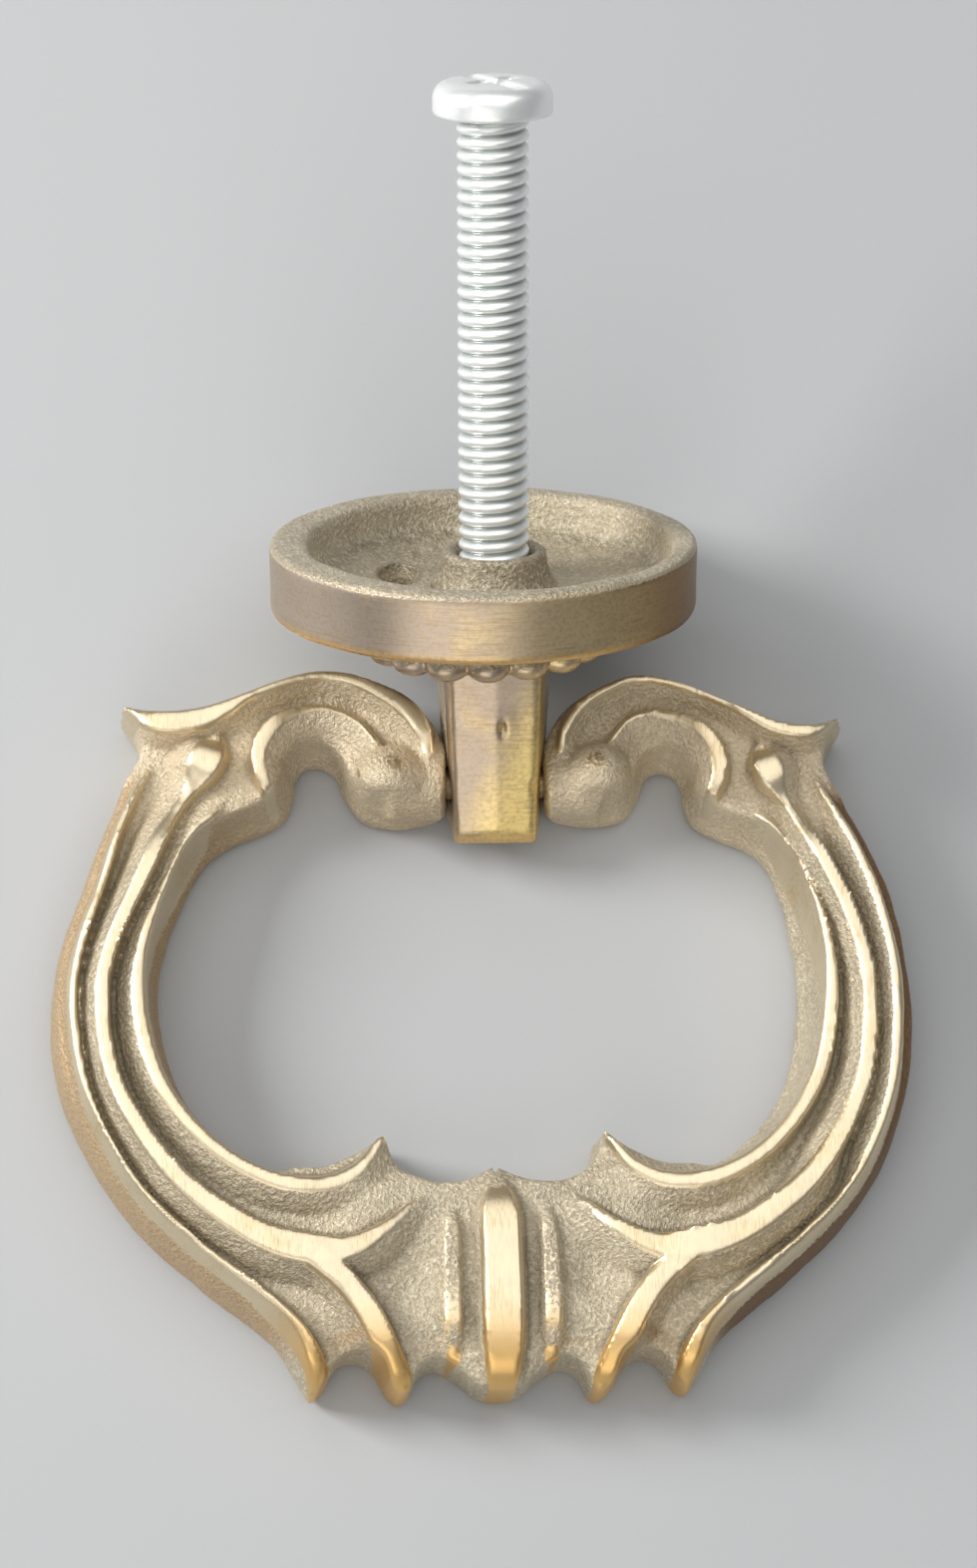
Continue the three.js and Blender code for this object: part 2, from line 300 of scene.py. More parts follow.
# ---------- bail ----------
# Right half in plan about the pivot. Each stretch is a smooth curve, and stretches meet at corners. The first
# value of each is how far its wall leans in, as a share of the walls of the arms.
OUTER_STRETCHES = [
    (0.5, [
        (0, -37.2), (1.2, -37), (2.3, -36.1), (3.6, -35.4), (4.6, -35.8), (5.2, -37), (5.8, -37.3),
    ]),
    (0.45, [
        (5.8, -37.3), (6.5, -36.7), (7.2, -35.4), (8.3, -34.8), (9.3, -35.2), (10.1, -36.5), (10.8, -37.1),
    ]),
    (1.0, [
        (10.8, -37.1), (11.7, -35.8), (13.2, -33.5), (16.8, -30.6), (20.2, -27.5), (22.8, -24), (24.5, -20),
        (25.25, -16.5), (25.35, -13.3), (24.7, -8.9), (23.1, -4.6), (21.5, -1.5),
    ]),
    (0.35, [(21.5, -1.5), (20.5, 0.4), (20.5, 1.8), (21.6, 3.7)]),
    (0.08, [
        (21.6, 3.7), (19.5, 3.0), (17.2, 3.3), (14.4, 4.5), (11.4, 5.75), (8.8, 6.2), (6.5, 5.75), (4.7, 4.7),
        (3.6, 3.4), (3.1, 2.1),
    ]),
    (0.6, [(3.1, 2.1), (2.98, 0), (3.25, -1.4)]),
]
INNER_STRETCHES = [
    (0.8, [
        (3.25, -1.4), (4.6, -1.75), (6.3, -1.85), (8.0, -1.45), (9.0, -0.3), (9.6, 1), (10.5, 1.45),
        (11.4, 1.2), (11.95, 0.4),
    ]),
    (1.0, [
        (11.95, 0.4), (12, -0.6), (12.6, -2), (14.2, -2.9), (15.8, -3.6), (17.2, -5.1), (18.5, -8.9),
        (18.95, -12.4), (18.3, -16.8), (16.6, -20.3), (14.2, -22.7), (12, -23.6),
    ]),
    (0.4, [(12, -23.6), (10, -23.6), (8, -22.8), (6.3, -21.7)]),
    (0.15, [(6.3, -21.7), (5.7, -23.7), (4.6, -24.5), (3.2, -24.9), (1.6, -24.7), (0, -23.9)]),
]

# The half outline is closed along the mirror plane from here down.
INNER_MIDDLE = -24.5

# How far the walls stand in from the outline at heights above the bail's back.
WALL_HEIGHTS = [0, 0.5, 1.2, 2.2, 3.2, 4.5, 5.6, 6.3, 7]
OUTER_WALL = [0.45, 0.1, 0, 0.02, 0.1, 0.32, 0.65, 1.0, 1.7]
INNER_WALL = [0.3, 0.04, 0.05, 0.42, 0.58, 0.72, 0.85, 0.95, 1.15]

ARM_FLOOR = 4.9
FOOT_FLOOR = 5.5
SCROLL_FLOOR = 5.0

# Each ridge has the widths of the flanks on its line's left and right, then those widths on the right arm,
# then the line's points as (x, y, height, half the width of the polished top). A narrow flank drops steeply
# from a crisp edge, and a wide one is a gentle slope.
RIDGES = {
    "outer": ((0.6, 0.42), (0.42, 1.35), [
        (19.7, -0.4, 5.2, 0.05), (20.8, -2.6, 5.9, 0.12), (21.9, -4.9, 6.2, 0.18), (23.6, -9.9, 6.5, 0.22),
        (24.1, -14, 6.5, 0.24), (23.3, -20, 6.5, 0.24), (21.1, -24.9, 6.5, 0.28), (17.8, -28.5, 6.4, 0.32),
        (14.3, -31.3, 6.3, 0.38), (11.9, -33.6, 6.2, 0.48), (10.8, -35.4, 5.6, 0.5), (10.5, -36.6, 4.4, 0.4),
    ]),
    "middle": ((1.25, 0.42), (0.34, 1.25), [
        (16.4, 1.3, 5.6, 0.4), (16.6, 0.6, 6.4, 0.75), (17.1, -0.6, 6.4, 0.7), (17.7, -1.7, 5.75, 0.22),
        (18.4, -2.9, 5.9, 0.18), (19.6, -5.2, 6.7, 0.36), (21.7, -9.9, 6.8, 0.36), (22.4, -14.1, 6.8, 0.36),
        (21.5, -19.6, 6.8, 0.42), (18.6, -24.6, 6.8, 0.5), (14.4, -27.9, 6.8, 0.68), (11.2, -29.0, 6.8, 0.85),
        (8.8, -29.0, 6.7, 0.62), (6.6, -27.8, 6.5, 0.3), (5, -26.4, 5.9, 0.12),
    ]),
    "branch": ((0.9, 0.5), (0.9, 0.5), [
        (10.6, -29.5, 6.8, 0.7), (9.0, -31.0, 6.7, 0.6), (7.7, -32.8, 6.6, 0.62), (6.8, -34.6, 6.3, 0.62),
        (6.0, -36.2, 5.4, 0.55), (5.8, -36.9, 4.4, 0.4),
    ]),
    "inner": ((1.3, 0.6), (0.45, 1.3), [
        (16.2, -2.4, 5.2, 0.06), (17.3, -4.0, 5.8, 0.18), (18.5, -6.4, 6.1, 0.26), (19.8, -9.9, 6.3, 0.34),
        (20.2, -13.9, 6.3, 0.36), (19.1, -18.8, 6.3, 0.36), (16.6, -22.6, 6.3, 0.36),
        (13.2, -24.8, 6.2, 0.36), (10.2, -25.2, 6.1, 0.36), (8, -24.3, 6.0, 0.24), (6.6, -22.5, 5.8, 0.1),
    ]),
    "rim": ((0.9, 0.5), (0.9, 0.5), [
        (21.3, 3.4, 5.8, 0.05), (20.2, 2.6, 6.4, 0.45), (19, 2.3, 6.6, 0.7), (17.3, 2.6, 6.6, 0.66),
        (15.9, 3.3, 6.6, 0.45), (14.3, 4.25, 6.5, 0.22), (11.5, 5.4, 6.4, 0.2), (8.8, 5.8, 6.3, 0.26),
        (6.8, 5.2, 6.2, 0.36), (5.2, 4.2, 6.1, 0.5), (4.2, 2.7, 6.0, 0.42), (3.9, 1.4, 5.7, 0.15),
    ]),
    "leaf": ((0.42, 1.3), (0.42, 1.3), [
        (7.0, 2.2, 5.7, 0.1), (8.1, 3.3, 5.6, 0.1), (9.6, 3.8, 5.7, 0.1), (11.4, 3.5, 5.9, 0.22),
        (13.0, 2.6, 6.2, 0.36), (13.95, 1.1, 6.2, 0.42), (13.95, -0.5, 6.1, 0.36), (13.2, -1.9, 5.6, 0.25),
    ]),
    "centre_reed": ((0.7, 0.7), (0.7, 0.7), [
        (0, -24.4, 5.2, 0.05), (0, -25.6, 6.1, 0.55), (0, -27.0, 6.7, 0.95), (0, -30, 6.8, 1.05),
        (0, -33.2, 6.7, 1.05), (0, -35.2, 6.2, 0.95), (0, -36.3, 5.5, 0.8), (0, -37, 4.5, 0.6),
    ]),
    "side_reed": ((0.6, 0.6), (0.6, 0.6), [
        (2.6, -26.2, 5.3, 0.02), (2.8, -27.6, 5.95, 0.3), (2.9, -30.5, 6.03, 0.42), (2.9, -33.4, 5.98, 0.42),
        (2.8, -35.3, 5.0, 0.25),
    ]),
}

# Rounded bodies as (x, y, radius, height) and hollows as (x, y, radius, depth).
DOMES = [(6.1, -0.1, 3.6, 5.6), (6.3, 0.0, 2.05, 6.75)]
HOLLOWS = [(9.9, 1.9, 1.5, 0.8), (6.0, -30.6, 1.9, 0.55), (8.7, -34.0, 1.3, 0.5), (8.2, 4.3, 1.0, 0.25)]

# How far below the floor a ridge's flanks aim, and how the ridges and the rounded bodies run into the face.
RIDGE_TUCK = 0.2
RIDGE_BLEND = 0.15
DOME_BLEND = 0.22

# The foot's face falls away towards its tips.
FOOT_FALL_FROM = -33.4
FOOT_FALL = 0.3

# The right-hand rim is filed less broadly than the left.
RIGHT_RIM_SHARE = 0.5

# The worn spot on top of each hub.
WORN_SPOT = (6.0, 0.4)
WORN_SHARE = 0.5

# Roundings where the face meets the walls, at the rim of the hub, and where the hub joins the scroll.
WALL_BLEND = 0.3
HUB_RIM_BLEND = 0.3
HUB_BLEND = 0.9

# The casting isn't true. Away from the hubs, its middle is off to the left, and more so across the arms. Its
# tops lean to the right, its right scroll is drawn in, its left ear is drawn out and up, and its foot sits
# high.
SHIFT = -0.5
ARM_SHIFT = -0.7
ARM_MIDDLE = -13
ARM_REACH = 11
TOP_LEAN = 0.075
RIGHT_SCROLL_SHIFT = -0.65
LEFT_EAR_SHIFT = -0.9
EAR_UP = 0.055
FOOT_UP = 0.42


def stretch_distance(x, y, stretches):
    """Distance to the nearest of the stretches, and that stretch's share of the wall's lean."""
    distances = [nearest(x, y, curve(points))[0] for _, points in stretches]
    closest = np.argmin(distances, 0)
    leans = np.array([lean for lean, _ in stretches])
    return np.min(distances, 0), leans[closest]


def bail_relief(x, y, side):
    """Height of one side of the bail's face before the walls cut it, and where its tops are polished."""
    right_arm = (side > 0) * smooth_step(-27, -22, y) * smooth_step(0, -5, y)
    height = ARM_FLOOR + (FOOT_FLOOR - ARM_FLOOR) * smooth_step(11, 7.5, x) * smooth_step(-23, -26, y)
    height += (SCROLL_FLOOR - ARM_FLOOR) * smooth_step(-3, 0, y)
    height -= FOOT_FALL * smooth_max(FOOT_FALL_FROM - y, 0, 2)
    floor = height.copy()
    for cx, cy, radius, depth in HOLLOWS:
        height -= depth * np.exp(-((x - cx) ** 2 + (y - cy) ** 2) / radius**2)
    polish = np.zeros(x.shape)
    for name, (flanks, arm_flanks, points) in RIDGES.items():
        line = curve(points)
        distance, along, left = nearest(x, y, line)
        samples = np.arange(len(line))
        top = np.interp(along, samples, line[:, 2])
        half = np.interp(along, samples, line[:, 3])
        if side > 0 and name == "rim":
            half = half * RIGHT_RIM_SHARE
        flank = np.where(left, *flanks) * (1 - right_arm) + np.where(left, *arm_flanks) * right_arm
        fall = np.clip((distance - half) / flank, 0, 2)
        drop = np.where(fall < 1, 1 - np.clip(1 - fall, 0, 1) ** (1 / flank), fall)
        height = smooth_max(height, top - (top - floor + RIDGE_TUCK) * drop, RIDGE_BLEND)
        # A ridge is polished where it stands proud of the floor, and all of them are at the foot's tips.
        proud = np.maximum(smooth_step(0.3, 0.9, top - floor), smooth_step(-34, -35.5, y))
        polish = np.maximum(polish, smooth_step(0.3, 0, distance - half) * proud)
    for cx, cy, radius, top in DOMES:
        distance = np.hypot(x - cx, y - cy)
        dome = top - radius + np.sqrt(np.clip(radius**2 - distance**2, 0, None))
        height = smooth_max(height, np.where(distance < radius, dome, -1), DOME_BLEND)
    from_spot = np.hypot(x - WORN_SPOT[0], y - WORN_SPOT[1])
    return height, np.maximum(polish, WORN_SHARE * smooth_step(1.2, 0.5, from_spot))


def bail_field(step):
    """The bail's field and masks, worked out over the right half's plan for each half and put together."""
    low = (0, -37.7, -0.5)
    x, y, _ = (a[:, :, 0] for a in grid(low, (26, 6.9, low[2]), step))
    z = np.arange(low[2], 7.4, step)
    # A hair to the side, so that no point lies on the mirror plane, where the outlines end.
    x = x + 1e-4
    outer, outer_lean = stretch_distance(x, y, OUTER_STRETCHES)
    inner, inner_lean = stretch_distance(x, y, INNER_STRETCHES)
    loop = np.vstack([curve(points)[:-1] for _, points in OUTER_STRETCHES + INNER_STRETCHES])
    loop = np.vstack([loop, [[0, INNER_MIDDLE]]])
    inset = np.minimum(outer, inner) * np.where(within(x, y, loop), 1, -1)
    inward = smooth_step(0.3, 0.7, outer / (outer + inner + 1e-6))
    lean = softened(np.where(outer < inner, outer_lean, inner_lean), 8)[:, :, None]
    wall = np.interp(z, WALL_HEIGHTS, OUTER_WALL) * (1 - inward[:, :, None])
    wall = wall + np.interp(z, WALL_HEIGHTS, INNER_WALL) * inward[:, :, None]
    from_pin = np.hypot(y[:, :, None], z - PIVOT_Z)
    domed = HUB_FACE + HUB_DOME * from_pin - x[:, :, None]
    hub_ends = np.maximum(domed, (x - HUB_END)[:, :, None])
    hub = smooth_max(from_pin - HUB_R, hub_ends, HUB_RIM_BLEND)
    socket = np.maximum(from_pin - SOCKET_R, (x - SOCKET_END)[:, :, None])
    # The outer wall of the arms is worn smooth by hands. The inner wall above the foot is masked too, for
    # painted shade that make_bail keeps to the left side.
    outside = smooth_step(0.4, 0.15, inward) * smooth_step(1.35, 1.0, inset) * smooth_step(-35.5, -33, y)
    outside = outside * smooth_step(0, -2, y)
    inside = smooth_step(0.6, 0.85, inward) * smooth_step(1.0, 0.6, inset) * smooth_step(0, -5, y)
    inside = inside * smooth_step(-22.5, -18, y)
    halves = []
    for side in (-1, 1):
        height, polish = bail_relief(x, y, side)
        slope = np.hypot(*np.gradient(height, step))
        face = (z - height[:, :, None]) / np.sqrt(1 + slope**2)[:, :, None]
        body = smooth_max(face, wall * lean - inset[:, :, None], WALL_BLEND)
        body = smooth_min(body, hub, HUB_BLEND)
        halves.append((np.maximum(np.maximum(body, -socket), -z), polish, outside, inside))
    both = [np.concatenate([a[:0:-1], b]) for a, b in zip(*halves)]
    return both, (-step * (x.shape[0] - 1), low[1], low[2])


def bend_bail(vertices):
    """Moves the true shape to the casting's own, but not at the hubs, which turn beside the post."""
    x, y = vertices[:, 0].copy(), vertices[:, 1].copy()
    arms = SHIFT + ARM_SHIFT * np.exp(-(((y - ARM_MIDDLE) / ARM_REACH) ** 2)) + TOP_LEAN * vertices[:, 2]
    scrolls = RIGHT_SCROLL_SHIFT * smooth_step(6.5, 11, x) + LEFT_EAR_SHIFT * smooth_step(-15, -21.5, x)
    upper = smooth_step(-9, -1, y)
    vertices[:, 0] += arms * (1 - upper) + scrolls * upper
    lift = smooth_step(-6.5, -11, x) * smooth_step(-8, 0, y)
    vertices[:, 1] += EAR_UP * lift * np.abs(x) + FOOT_UP * smooth_step(-17, -23, y)


def make_bail():
    step = 0.19
    (field, polish, outside, inside), low = bail_field(step)
    points = [low[a] + step * np.arange(n).reshape([-1 if a == b else 1 for b in range(3)])
              for a, n in enumerate(field.shape)]
    rough = (1 - polish)[:, :, None]
    field = field + 0.05 * lumps(points, scale=2.3, seed=3)
    field = field + 0.03 * rough * lumps(points, scale=0.65, seed=4)
    field = np.maximum(field, -points[2])
    x, y = (p[:, :, 0] + 0 * polish for p in points[:2])
    masks = {
        "polish": polish,
        # Wear on the outer wall, and painted shade on the left inner wall.
        "worn_and_shaded_walls": np.maximum(outside, inside * smooth_step(0, -5, x)),
        # Painted shade on the right side's outer wall.
        "right_side_shade": outside * smooth_step(2, 12, x),
        "tips": smooth_step(-31.5, -36, y),
        "scroll": smooth_step(-7, -2, y),
    }
    made = cast("bail_casting", field, low, step, LYING, masks, bend_bail)
    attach(made, "bail")
    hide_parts("bail")
    return made


# ---------- post ----------
# The block tapers between two sections, each of which is (its place along the axis, half the top's width,
# half the bottom's width, half the height, how far the middle of the top stands up).
POST_SECTIONS = [(POST_BASE, 2.75, 3.6, 2.95, 0.25), (POST_TIP, 2.37, 2.86, 2.46, 0.2)]

# A casting pit in the front face and a chip on its right edge, as (centre, radii).
PIT = ((0.42, 4.3, 2.95), (0.18, 0.5, 0.35))
CHIP = ((2.55, 0.5, 2.6), (0.35, 0.55, 0.35))


def ellipsoid(x, y, z, centre, radii):
    """Distance from an ellipsoid's surface as a share of its radii, below zero inside it."""
    (cx, cy, cz), (rx, ry, rz) = centre, radii
    return np.sqrt(((x - cx) / rx) ** 2 + ((y - cy) / ry) ** 2 + ((z - cz) / rz) ** 2) - 1


def post_field(x, y, z):
    (far, *root), (near, *tip) = POST_SECTIONS
    share = (y - near) / (far - near)
    upper, lower, height, crown = (t + (r - t) * share for r, t in zip(root, tip))
    side = np.abs(x) - (lower + (upper - lower) * (z + height) / (2 * height))
    top = z - height - crown * (1 - np.abs(x) / upper)
    bevel = (np.abs(z) - height - (y - POST_TIP) * 0.7 + 0.42) * 0.8
    nose = smooth_max(POST_TIP - y, bevel, 0.15)
    block = smooth_max(smooth_max(side, np.maximum(top, -z - height), 0.4), nose, 0.2)
    block = np.maximum(block, y - POST_BASE)
    block += 0.03 * lumps((x, y, z), scale=1.6, seed=11)
    block = smooth_max(block, -0.2 * ellipsoid(x, y, z, *PIT), 0.06)
    block = smooth_max(block, -0.4 * ellipsoid(x, y, z, *CHIP), 0.1)
    radius = np.hypot(x, z)
    # The boss swells where it leaves the floor of the recess.
    swell = 0.8 * np.exp(-np.clip(y - RECESS_FLOOR, 0, None) / 0.7) * (y > RECESS_FLOOR - 0.2)
    shank = smooth_max(radius - SHANK_R - swell, y - BOSS_FACE, 0.3)
    shank = np.maximum(shank + 0.03 * lumps((x, y, z), scale=0.8, seed=12), POST_BASE - 1 - y)
    countersink = np.clip(y - BOSS_FACE + 0.4, 0, None)
    tap = np.maximum(radius - TAP_R - countersink, TAP_END - y)
    bore = np.hypot(y, z) - PIN_BORE_R
    return np.maximum(np.maximum(smooth_min(block, shank, 0.1), -tap), -bore)


def make_post():
    step = 0.13
    low = (-4, -3.5, -3.7)
    x, y, z = grid(low, (4, 15, 3.7), step)
    filed = np.where((y < POST_BASE) & (z > 0.5), 1.0, 0.0)
    masks = {
        "polish": softened(filed, 2),
        "tips": smooth_step(POST_TIP + 0.8, POST_TIP + 0.1, y),
        # Grime on the boss, without painted shade.
        "grime_and_shade": smooth_step(9, 10, y),
    }
    made = cast("post_block", softened(post_field(x, y, z), 1), low, step, FITTING, masks)
    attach(made, "fitting")
    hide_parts("post")
    return made


# ---------- rosette ----------
# Half of the plate's section, as (radius, place along the axis).
ROSETTE_PROFILE = [
    (-1, SEAT_FACE), (5.2, SEAT_FACE), (5.5, SEAT_FACE + 0.3), (6.7, SEAT_FACE + 0.3), (7.3, 9.9),
    (7.9, 10.7), (FLANGE_R - 0.15, FLANGE_FRONT), (FLANGE_R, FLANGE_FRONT + 0.15), (FLANGE_R, DOOR_FACE),
    (LAND_R, DOOR_FACE), (LAND_R - 0.3, 13.5), (LAND_R - 0.9, 12.85), (LAND_R - 2.1, 12.5),
    (6.5, RECESS_FLOOR), (-1, RECESS_FLOOR),
]

# A sunk patch in the recess beside the boss, as its centre and half its widths across the plate.
PATCH = ((-4.9, -2.6), (1.25, 2.2))
PATCH_DEPTH = 1.4


def turned_plate(radius, y, step):
    """The field of the plate's section turned round its axis."""
    radius_step = 0.05
    along = y[0, :, 0]
    flat = polygon(*np.meshgrid(np.arange(0, 19, radius_step), along, indexing="ij"), ROSETTE_PROFILE)
    where = np.stack([radius.ravel() / radius_step, (y.ravel() - along[0]) / step], 1)
    return softened(sampled(flat, where).reshape(radius.shape), 2)


def add_beads(field, x, y, z):
    for i in range(BEADS):
        turn = 2 * math.pi * (i + 0.5) / BEADS + BEAD_TURN
        wobble = 0.06 * math.sin(7.3 * i)
        dx, dz = x - BEAD_RING_R * math.sin(turn), z - BEAD_RING_R * math.cos(turn)
        bead = np.sqrt(dx**2 + (BEAD_FLATNESS * (y - BEAD_CENTRE)) ** 2 + dz**2) - BEAD_R - wobble
        field = smooth_min(field, bead / BEAD_FLATNESS, 0.15)
    return field


def make_rosette():
    step = 0.19
    low = (-13, 7.7, -13)
    x, y, z = grid(low, (13, 15.5, 13), step)
    radius = np.hypot(x, z)
    offset = RECESS_OFFSET * smooth_step(FLANGE_R, LAND_R, radius)
    offset = offset * smooth_step(FLANGE_FRONT, RECESS_FLOOR, y)
    radius = np.hypot(x - offset, z)
    field = add_beads(turned_plate(radius, y, step), x, y, z)
    recess = smooth_step(LAND_R - 0.3, LAND_R - 0.9, radius)
    recess = recess * smooth_step(RECESS_FLOOR - 0.5, RECESS_FLOOR, y)
    field = field + 0.1 * recess * lumps((x, y, z), scale=0.6, seed=21)
    field = field + 0.12 * recess * lumps((x, y, z), scale=1.9, seed=22)
    field = field + 0.05 * lumps((x, y, z), scale=3.1, seed=23)
    (patch_x, patch_z), (half_x, half_z) = PATCH
    dent = np.hypot((x - patch_x) / half_x, (z - patch_z) / half_z)
    field = np.maximum(field, np.minimum(1.2 - 1.2 * dent, y - RECESS_FLOOR + PATCH_DEPTH))
    hole = np.hypot(x + ROSETTE_X, z) - SHANK_R - 0.1
    field = np.maximum(field, -hole)
    side = smooth_step(FLANGE_R - 0.7, FLANGE_R - 0.3, radius)
    land = smooth_step(DOOR_FACE - 0.5, DOOR_FACE - 0.1, y) * smooth_step(LAND_R - 0.6, LAND_R, radius)
    bead_tops = 0.7 * smooth_step(SEAT_FACE + 0.6, SEAT_FACE, y)
    corner = smooth_step(LAND_R - 1.8, LAND_R - 0.6, radius)
    masks = {
        "polish": np.maximum(side * (1 - land), bead_tops),
        "tips": side * smooth_step(FLANGE_FRONT + 0.7, FLANGE_FRONT + 0.15, y),
        # Painted shade on the right side.
        "right_side_shade": smooth_step(5, 11.5, x),
        # Grime over the recess, with painted shade in its corner and, most of all, in the sunk patch.
        "grime_and_shade": recess * (0.15 + 0.5 * corner + 2.2 * smooth_step(1.2, 0.9, dent)),
    }
    place = FITTING @ Matrix.Translation((ROSETTE_X * MM, 0, 0))
    made = cast("rosette_plate", field, low, step, place, masks)
    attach(made, "fitting")
    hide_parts("rosette")
    return made


# ---------- screw ----------
def thread_radius(phase):
    """Radius over one turn of the thread, which has broad rounded crests and narrow roots."""
    root_softness = 0.01
    crest_breadth = 0.6
    wave = np.sqrt(np.sin(math.pi * phase) ** 2 + root_softness)
    return THREAD_ROOT_R + (THREAD_R - THREAD_ROOT_R) * wave**crest_breadth


def make_shank():
    """The shank's vertices, quads, grooves and two open ends.

    The rows of vertices run along the thread, so that a turn ends where the next one starts.
    """
    segments = 60
    per_turn = 14
    turns = int((HEAD_SEAT + 0.3 - SCREW_TIP) / PITCH)
    row = np.arange(per_turn * turns)[:, None]
    turn = np.arange(segments)[None, :] / segments
    y = SCREW_TIP + PITCH * (row / per_turn + turn)
    radius = thread_radius(row / per_turn % 1) + 0 * y
    # The tip tapers, and the last stretch under the head has no thread.
    radius = radius - 0.3 * smooth_step(SCREW_TIP + 1.6, SCREW_TIP, y)
    radius = np.where(y > HEAD_SEAT - 0.35, THREAD_R - 0.12, radius)
    angle = 2 * math.pi * turn
    ring = np.stack([radius * np.cos(angle), y, -radius * np.sin(angle)], -1).reshape(-1, 3)
    number = np.arange(row.size * segments).reshape(row.size, segments)
    beyond = np.append(number[per_turn:, 0], np.full(per_turn, -1))[:, None]
    number = np.hstack([number, beyond])[: row.size - per_turn]
    quads = np.stack([number[:-1, :-1], number[:-1, 1:], number[1:, 1:], number[1:, :-1]], -1).reshape(-1, 4)
    first = [*number[0], *number[per_turn - 1 : 0 : -1, 0]]
    top = row.size - per_turn - 1
    last = [*number[top], *(segments * np.arange(top + per_turn - 1, top, -1))]
    vertices = np.vstack([ring, [[0, SCREW_TIP, 0]], [[0, HEAD_SEAT + 0.6, 0]]])
    groove = np.append(smooth_step(THREAD_R, THREAD_ROOT_R, radius).ravel(), [0, 0])
    return vertices, quads, groove, ((first, len(ring), -1), (last, len(ring) + 1, 1))


def make_thread():
    """The shank's mesh with its two ends closed. Both are hidden, in the post and in the head."""
    vertices, quads, groove, ends = make_shank()
    made = mesh_object("screw_thread", vertices, quads, FITTING, {"groove": groove})
    shape = bmesh.new()
    shape.from_mesh(made.data)
    shape.verts.ensure_lookup_table()
    for loop, centre, order in ends:
        for a, b in zip(loop, [*loop[1:], loop[0]]):
            pair = [shape.verts[a], shape.verts[b]][::order]
            shape.faces.new([shape.verts[centre], *pair])
    loose = [v for v in shape.verts if not v.link_faces]
    bmesh.ops.delete(shape, geom=loose, context="VERTS")
    bmesh.ops.recalc_face_normals(shape, faces=shape.faces)
    shape.to_mesh(made.data)
    shape.free()
    return made


def head_recess(x, z, depth):
    """The cross for a screwdriver, with a shallow slot along one arm, at depths below the head's top."""
    half_width, reach, bottom = 0.42, 1.95, 1.9
    slot_half_width, slot_reach, slot_bottom = 0.5, 2.7, 0.55
    arms = []
    for a, b in ((x, z), (z, x)):
        arms.append(np.maximum(np.abs(a) - half_width + 0.12 * depth, np.abs(b) - reach + 0.85 * depth))
    cross = np.maximum(np.minimum(*arms), depth - bottom)
    slot = np.maximum(np.abs(x) - slot_half_width, np.abs(z) - slot_reach)
    return np.minimum(cross, np.maximum(slot, depth - slot_bottom))


def make_head():
    step = 0.1
    low = (-3.9, HEAD_SEAT - 0.4, -3.9)
    x, y, z = grid(low, (3.9, HEAD_SEAT + HEAD_HEIGHT + 0.4, 3.9), step)
    radius = np.hypot(x, z)
    rise = y - HEAD_SEAT
    crown = rise - HEAD_HEIGHT + 0.035 * radius**2
    # The shoulder is rounded about a ring inside the head.
    outward = np.clip(radius - HEAD_R + 1.15, 0, None)
    upward = np.clip(rise - HEAD_HEIGHT + 1.45, 0, None)
    shoulder = np.hypot(outward, upward) - 1.18
    head = smooth_max(smooth_max(radius - HEAD_R, crown, 0.5), shoulder, 0.3)
    head = smooth_max(head, -rise, 0.25)
    field = smooth_max(head, -head_recess(x, z, HEAD_HEIGHT - rise), 0.12)
    place = FITTING @ Matrix.Rotation(math.radians(HEAD_TURN), 4, "Y")
    return cast("screw_head", softened(field, 1), low, step, place)


def make_screw():
    for made in (make_thread(), make_head()):
        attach(made, "screw")
        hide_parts("mounting_screw")
        yield made


# ---------- materials ----------
class Nodes:
    """A material's node tree, with short calls for the nodes that the finishes use."""

    def __init__(self, name):
        self.material = bpy.data.materials.new(name)
        self.material.use_nodes = True
        self.tree = self.material.node_tree
        self.shader = self.tree.nodes["Principled BSDF"]

    def add(self, kind, settings=None, **inputs):
        node = self.tree.nodes.new(kind)
        for key, value in (settings or {}).items():
            setattr(node, key, value)
        for key, value in inputs.items():
            self.feed(node.inputs[key.replace("_", " ")], value)
        return node

    def feed(self, socket, value):
        if isinstance(value, bpy.types.NodeSocket):
            self.tree.links.new(value, socket)
        else:
            socket.default_value = value

    def attribute(self, name):
        node = self.add("ShaderNodeAttribute", {"attribute_name": name})
        return node.outputs["Vector"] if name == "own_mm" else node.outputs["Fac"]

    def maths(self, operation, first, second, third=0.0):
        node = self.add("ShaderNodeMath", {"operation": operation})
        for socket, value in zip(node.inputs, (first, second, third)):
            self.feed(socket, value)
        return node.outputs[0]

    def span(self, value, low, high, out_low=0.0, out_high=1.0):
        node = self.add("ShaderNodeMapRange", {"interpolation_type": "SMOOTHSTEP"})
        keys = ("Value", "From Min", "From Max", "To Min", "To Max")
        for key, v in zip(keys, (value, low, high, out_low, out_high)):
            self.feed(node.inputs[key], v)
        return node.outputs[0]

    def noise(self, where, scale, detail):
        return self.add("ShaderNodeTexNoise", Vector=where, Scale=scale, Detail=detail).outputs["Fac"]

    def stretched(self, where, factors):
        node = self.add("ShaderNodeVectorMath", {"operation": "MULTIPLY"})
        self.feed(node.inputs[0], where)
        node.inputs[1].default_value = factors
        return node.outputs[0]

    def along(self, where, heading):
        node = self.add("ShaderNodeVectorMath", {"operation": "DOT_PRODUCT"})
        self.feed(node.inputs[0], where)
        node.inputs[1].default_value = heading
        return node.outputs["Value"]

    def mix(self, share, first, second):
        node = self.add("ShaderNodeMix", {"data_type": "RGBA"})
        self.feed(node.inputs[0], share)
        self.feed(node.inputs[6], (*first, 1) if isinstance(first, tuple) else first)
        self.feed(node.inputs[7], (*second, 1) if isinstance(second, tuple) else second)
        return node.outputs[2]

    def bump(self, height, distance, strength, normal=None):
        node = self.add("ShaderNodeBump", Height=height, Distance=distance, Strength=strength)
        if normal:
            self.feed(node.inputs["Normal"], normal)
        return node.outputs[0]


